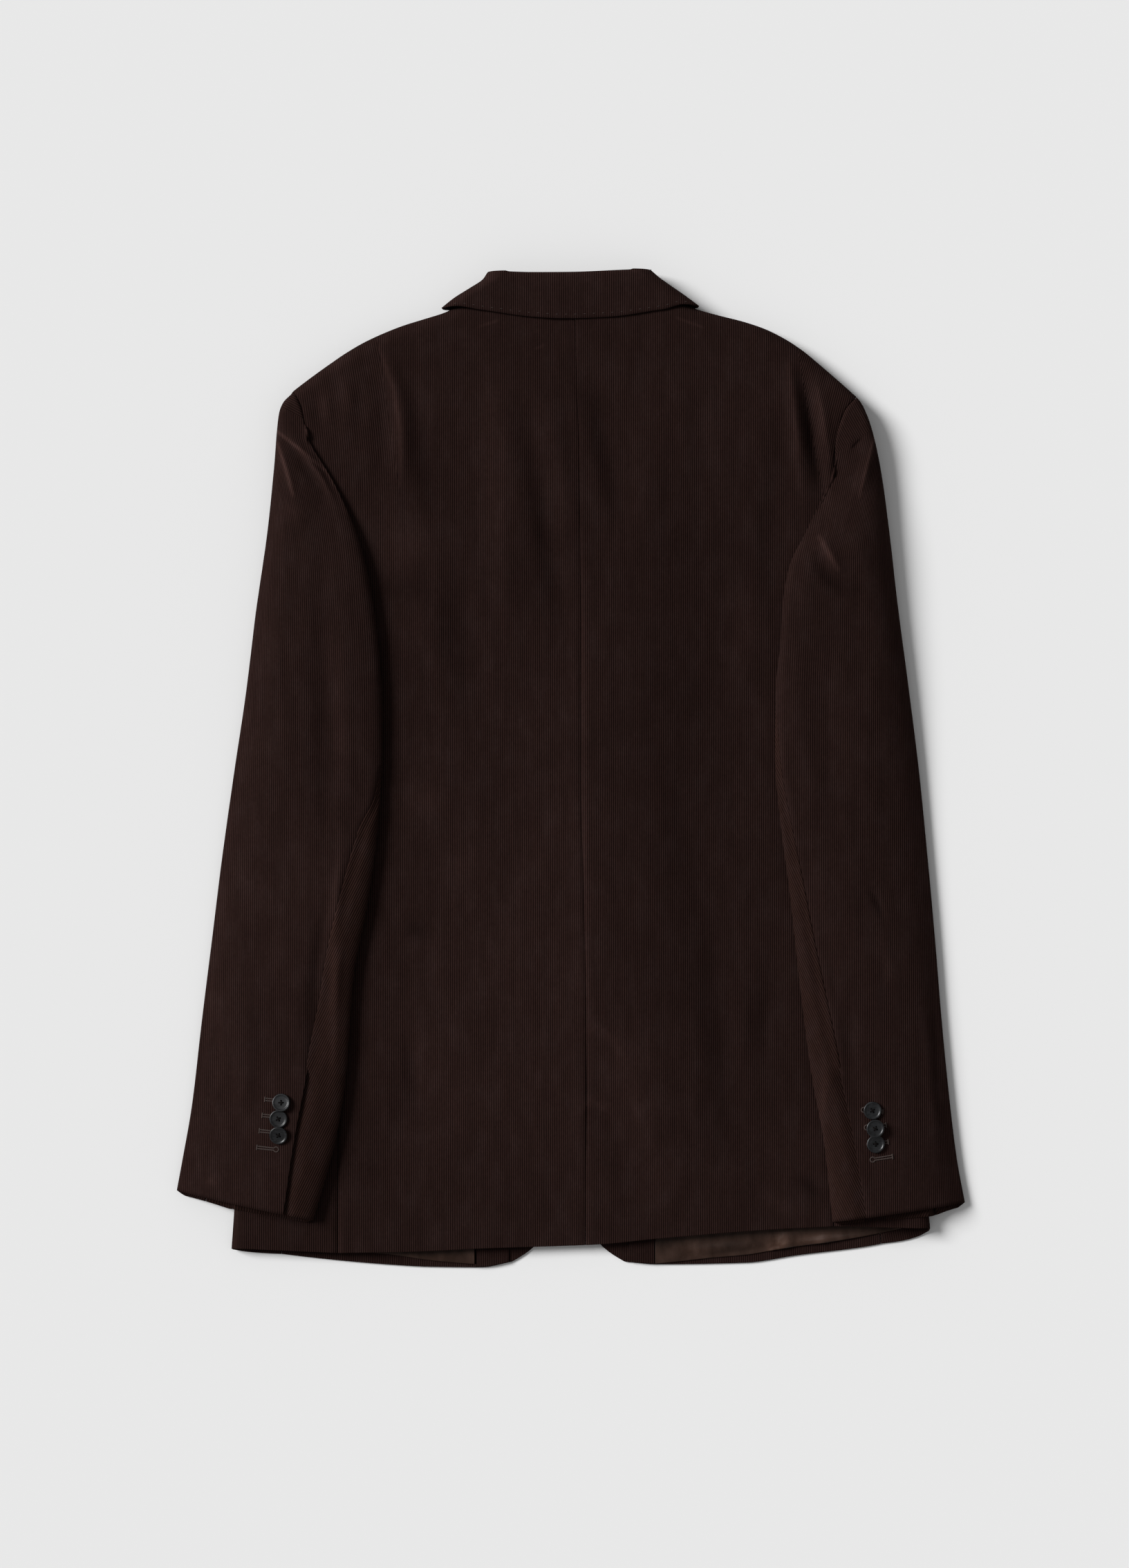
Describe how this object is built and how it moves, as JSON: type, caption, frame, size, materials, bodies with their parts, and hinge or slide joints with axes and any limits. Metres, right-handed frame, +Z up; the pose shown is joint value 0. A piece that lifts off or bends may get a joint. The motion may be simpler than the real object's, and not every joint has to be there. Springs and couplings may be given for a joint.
{
  "type": "corduroy jacket",
  "caption": "Single-breasted tailored jacket in dark brown fine-wale corduroy, laid flat face down with its back up and both sleeves folded over the back; notched collar and buttoned cuffs",
  "frame": {"origin": "Middle of the jacket's outline on the flat surface that its fronts lie on", "axes": "+X to the right seen from above, +Y from the hem to the collar, +Z up from the surface out of the back"},
  "size_m": [0.6565, 0.8312, 0.0307],
  "materials": {
    "corduroy": "fine-wale cotton corduroy with a soft pile",
    "satin_lining": "satin",
    "horn": "satin horn look"
  },
  "bodies": {
    "root": {"back_left": "corduroy", "back_right": "corduroy", "side_left": "corduroy", "side_right": "corduroy", "front_left": "corduroy", "front_right": "corduroy", "lapel_left": "corduroy", "lapel_right": "corduroy", "facing_left": "corduroy", "facing_right": "corduroy", "lining_left": "satin_lining", "lining_right": "satin_lining", "topsleeve_left": "corduroy", "topsleeve_right": "corduroy", "undersleeve_left": "corduroy", "undersleeve_right": "corduroy", "collar_leaf": "corduroy", "collar_stand": "corduroy", "cuff_button_left_1": "horn", "cuff_button_left_2": "horn", "cuff_button_left_3": "horn", "cuff_button_right_1": "horn", "cuff_button_right_2": "horn", "cuff_button_right_3": "horn", "front_button_1": "horn", "front_button_2": "horn"}
  },
  "joints": []
}
